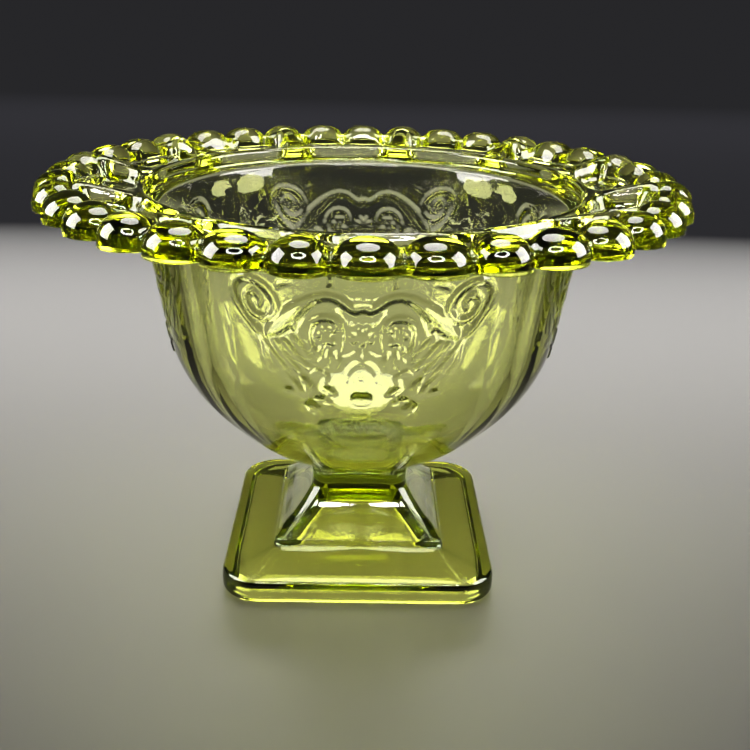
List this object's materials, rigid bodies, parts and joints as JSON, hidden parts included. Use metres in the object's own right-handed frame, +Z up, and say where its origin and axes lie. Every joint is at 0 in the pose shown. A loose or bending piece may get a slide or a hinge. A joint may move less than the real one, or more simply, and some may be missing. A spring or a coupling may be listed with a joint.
{
  "type": "footed glass dish",
  "caption": "Pressed glass compote: a round bowl with a flared, beaded lace rim, on a short neck and a stepped square foot.",
  "frame": {"origin": "middle of the square foot's underside, on the surface that the dish stands on", "axes": "+Z up through the neck and the bowl's mouth; +X and +Y square to the foot's sides"},
  "size_m": [0.19, 0.19, 0.1253],
  "materials": {
    "glass": "polished pressed glass, olive green"
  },
  "bodies": {
    "root": {"foot": "glass", "neck": "glass", "bowl": "glass", "lace_rim": "glass"}
  },
  "joints": []
}
